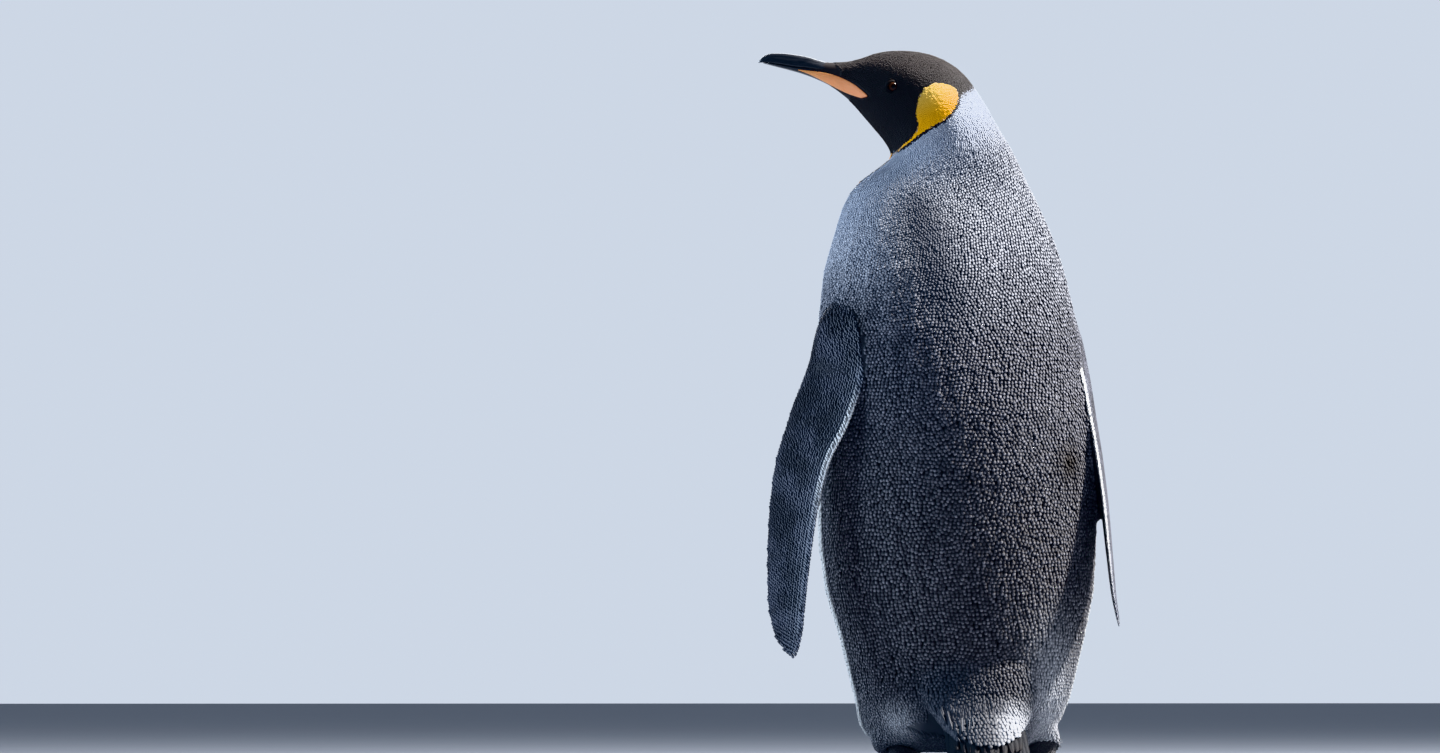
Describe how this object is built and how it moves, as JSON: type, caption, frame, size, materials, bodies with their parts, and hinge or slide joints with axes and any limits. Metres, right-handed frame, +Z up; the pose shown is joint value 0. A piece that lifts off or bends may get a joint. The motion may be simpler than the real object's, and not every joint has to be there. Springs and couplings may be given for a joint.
{
  "type": "king penguin",
  "caption": "Standing king penguin, life size: upright body, head turned over the shoulder, one flipper held out, webbed feet and a short stiff tail.",
  "frame": {"origin": "on the floor under the middle of the whole bird", "axes": "+Z up, -Y the way the hips and feet face, +X the bird's own left"},
  "size_m": [0.4, 0.3335, 0.8623],
  "materials": {
    "plumage_back": "short stiff feathers, slate grey with paler blue-grey tips",
    "plumage_head": "velvety black feathers with a golden ear patch",
    "plumage_belly": "dense white feathers, golden on the upper breast",
    "plumage_flipper": "tiny scale-like feathers in rows, slate with a white rear edge",
    "tail_feathers": "stiff black vanes",
    "foot_skin": "dark pebbled skin",
    "claw_horn": "black horn",
    "bill_horn": "smooth black horn",
    "bill_plate": "smooth orange horn",
    "eye": "wet dark brown"
  },
  "bodies": {
    "root": {"torso": "plumage_back", "neck": "plumage_back", "head": "plumage_head", "tail": "tail_feathers", "bill_upper": "bill_horn", "bill_lower": "bill_horn", "bill_plate_left": "bill_plate", "bill_plate_right": "bill_plate", "eye_left": "eye", "eye_right": "eye", "flipper_left": "plumage_flipper", "flipper_right": "plumage_flipper", "leg_left": "plumage_belly", "leg_right": "plumage_belly", "foot_left": "foot_skin", "foot_right": "foot_skin", "claw_left_inner": "claw_horn", "claw_left_middle": "claw_horn", "claw_left_outer": "claw_horn", "claw_left_hallux": "claw_horn", "claw_right_inner": "claw_horn", "claw_right_middle": "claw_horn", "claw_right_outer": "claw_horn", "claw_right_hallux": "claw_horn"}
  },
  "joints": []
}
